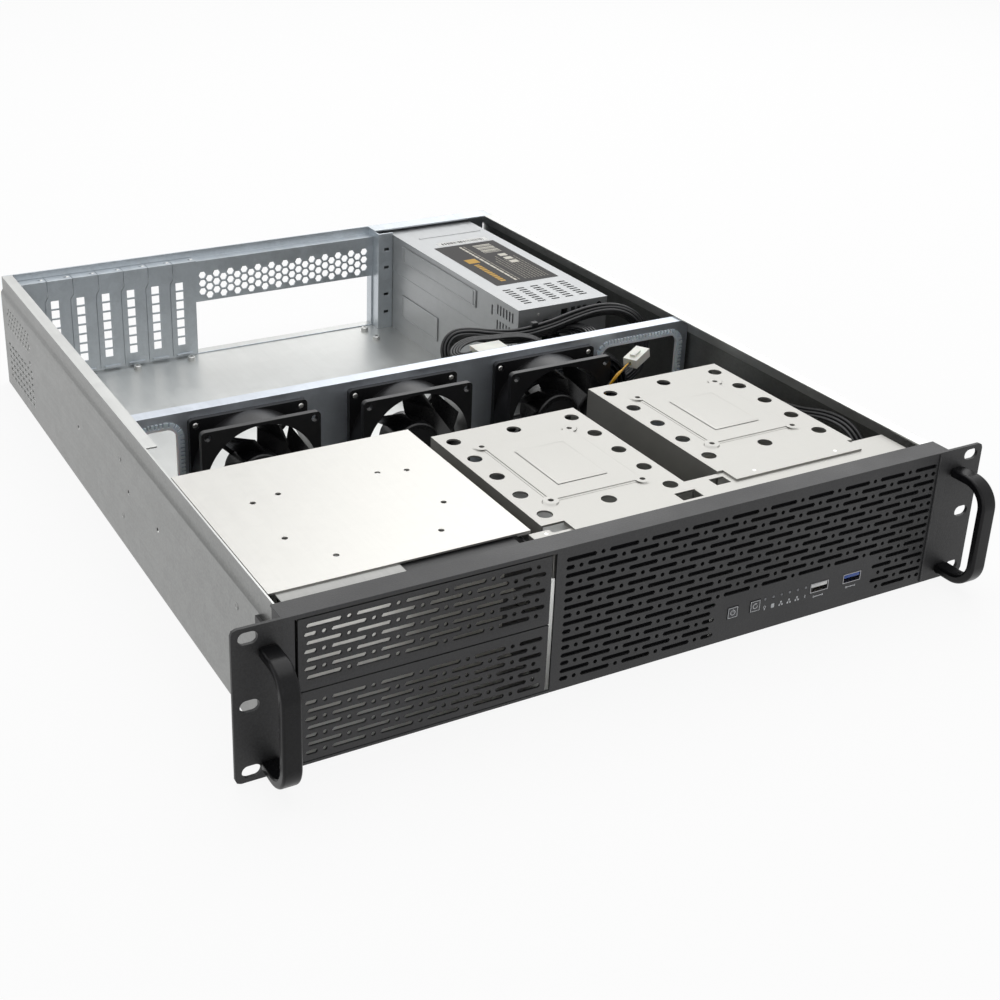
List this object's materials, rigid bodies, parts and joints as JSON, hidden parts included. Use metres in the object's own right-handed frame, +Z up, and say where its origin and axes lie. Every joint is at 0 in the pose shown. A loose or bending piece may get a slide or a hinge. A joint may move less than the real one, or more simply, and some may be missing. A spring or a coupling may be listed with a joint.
{
  "type": "rackmount server case",
  "caption": "Low two-unit rackmount server case without its lid: perforated black front with bow handles, drive cages, fan wall and rear power supply over an empty board space.",
  "frame": {"origin": "middle of the footprint, handles included, on the surface that the case stands on", "axes": "X to the right seen from the front, Y from the front to the rear, Z up"},
  "size_m": [0.4826, 0.579, 0.088],
  "materials": {
    "tray_steel": "satin",
    "cover_steel": "satin",
    "cage_steel": "satin",
    "supply_steel": "satin",
    "black_coat": "fine texture",
    "black_handle": "satin",
    "fan_plastic": "matte",
    "rotor_plastic": "satin",
    "bright_screw": "polished",
    "black_screw": "satin",
    "trim_nylon": "translucent",
    "board_laminate": "satin",
    "button_plastic": "satin",
    "lamp_plastic": "clear",
    "socket_steel": "bright",
    "tongue_plastic": "satin",
    "inlet_plastic": "satin",
    "lead_sheath": "satin",
    "white_plug": "satin",
    "black_plug": "satin"
  },
  "bodies": {
    "case": {"bay_blank_lower": "black_coat", "bay_blank_upper": "black_coat", "bay_cage": "cage_steel", "bay_cage_cover": "cage_steel", "board_studs": "tray_steel", "cable_tie": "lead_sheath", "cage_screws": "bright_screw", "chassis_tray": "tray_steel", "control_board": "board_laminate", "drive_cage_middle": "cage_steel", "drive_cage_right": "cage_steel", "edge_trim_left": "trim_nylon", "edge_trim_right": "trim_nylon", "fan_frame_1": "fan_plastic", "fan_frame_2": "fan_plastic", "fan_frame_3": "fan_plastic", "fan_lead": "lead_sheath", "fan_plug": "white_plug", "fan_screws": "bright_screw", "fan_wall": "tray_steel", "front_bezel": "black_coat", "front_crossbar": "cage_steel", "handle_left": "black_handle", "handle_right": "black_handle", "handle_screws": "black_screw", "lamp_lenses": "lamp_plastic", "panel_lead": "lead_sheath", "panel_plug": "black_plug", "pci_cover_1": "cover_steel", "pci_cover_2": "cover_steel", "pci_cover_3": "cover_steel", "pci_cover_4": "cover_steel", "pci_cover_5": "cover_steel", "pci_cover_6": "cover_steel", "pci_cover_7": "cover_steel", "pci_screws": "bright_screw", "psu_board": "board_laminate", "psu_case": "supply_steel", "psu_cover": "supply_steel", "psu_fan_frame": "fan_plastic", "psu_fan_guard": "bright_screw", "psu_inlet": "inlet_plastic", "psu_lead_hank": "lead_sheath", "psu_lead_lower": "lead_sheath", "psu_lead_plug": "white_plug", "psu_lead_root": "lead_sheath", "psu_lead_upper": "lead_sheath", "rack_ear_left": "black_coat", "rack_ear_right": "black_coat", "rear_panel": "tray_steel", "rear_post": "tray_steel", "socket_fast": "socket_steel", "socket_slow": "socket_steel", "socket_tongues": "tongue_plastic"},
    "fan_wheel_1": {"fan_rotor_1": "rotor_plastic"},
    "fan_wheel_2": {"fan_rotor_2": "rotor_plastic"},
    "fan_wheel_3": {"fan_rotor_3": "rotor_plastic"},
    "supply_fan_wheel": {"psu_fan_rotor": "rotor_plastic"},
    "power_key": {"power_button": "button_plastic"},
    "reset_key": {"reset_button": "button_plastic"}
  },
  "joints": [
    {"name": "fan_1_spin", "type": "hinge", "parent": "case", "child": "fan_wheel_1", "pos_m": [-0.132, -0.0225, 0.0415], "axis": [0, 1, 0], "continuous": true},
    {"name": "fan_2_spin", "type": "hinge", "parent": "case", "child": "fan_wheel_2", "pos_m": [-0.022, -0.0225, 0.0415], "axis": [0, 1, 0], "continuous": true},
    {"name": "fan_3_spin", "type": "hinge", "parent": "case", "child": "fan_wheel_3", "pos_m": [0.088, -0.0225, 0.0415], "axis": [0, 1, 0], "continuous": true},
    {"name": "psu_fan_spin", "type": "hinge", "parent": "case", "child": "supply_fan_wheel", "pos_m": [0.1517, 0.2765, 0.0524], "axis": [0, 1, 0], "continuous": true},
    {"name": "power_button_press", "type": "slide", "parent": "case", "child": "power_key", "axis": [0, 1, 0], "range_m": [0, 0.001], "stiffness_N_per_m": 900},
    {"name": "reset_button_press", "type": "slide", "parent": "case", "child": "reset_key", "axis": [0, 1, 0], "range_m": [0, 0.001], "stiffness_N_per_m": 900}
  ]
}
